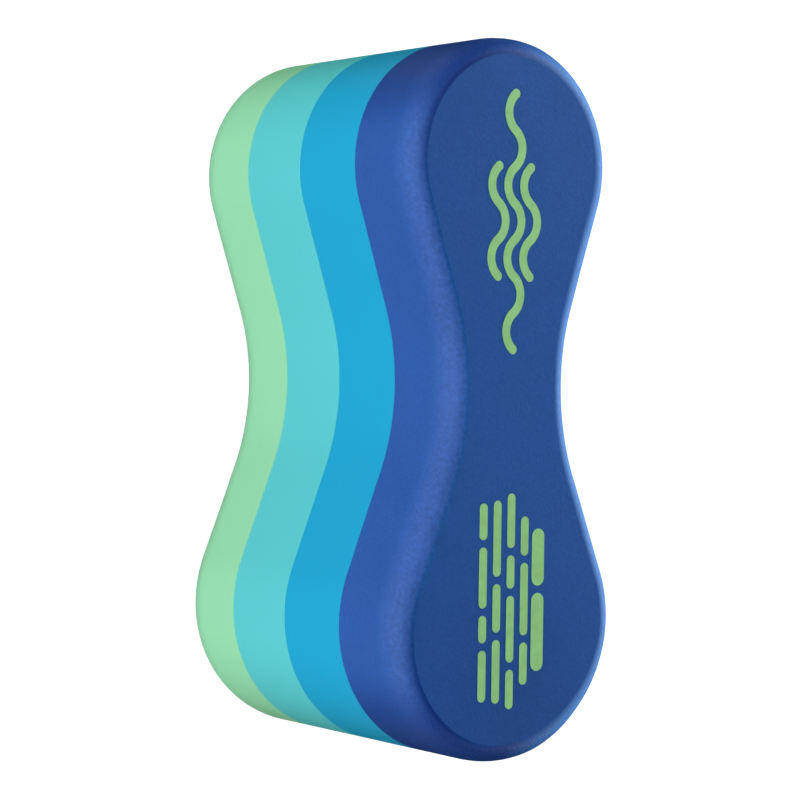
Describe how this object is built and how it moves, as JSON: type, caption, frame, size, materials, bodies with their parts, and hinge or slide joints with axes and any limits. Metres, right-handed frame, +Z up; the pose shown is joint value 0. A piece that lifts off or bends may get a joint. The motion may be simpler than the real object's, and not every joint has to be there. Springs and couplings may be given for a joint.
{
  "type": "pull buoy",
  "caption": "Pull buoy: laminated foam block with two round lobes, a thigh recess on each side, rounded-over edges and plain printed marks.",
  "frame": {"origin": "middle of the flat back face, halfway along the length, on the surface that the buoy lies on", "axes": "+X along the length towards the smaller lobe, +Y across the lobes, +Z up through the foam layers from the lime back to the printed front face"},
  "size_m": [0.24, 0.092, 0.1281],
  "materials": {
    "lime_foam": "matte closed-cell foam",
    "aqua_foam": "matte closed-cell foam",
    "cyan_foam": "matte closed-cell foam",
    "royal_foam": "matte closed-cell foam",
    "bond_glue": "dull contact adhesive",
    "lime_ink": "matte transfer ink"
  },
  "bodies": {
    "root": {"lime_foam_layer": "lime_foam", "aqua_foam_layer": "aqua_foam", "cyan_foam_layer": "cyan_foam", "royal_foam_layer": "royal_foam", "lime_aqua_bond_film": "bond_glue", "aqua_cyan_bond_film": "bond_glue", "cyan_royal_bond_film": "bond_glue", "wave_print": "lime_ink", "bar_print": "lime_ink"}
  },
  "joints": []
}
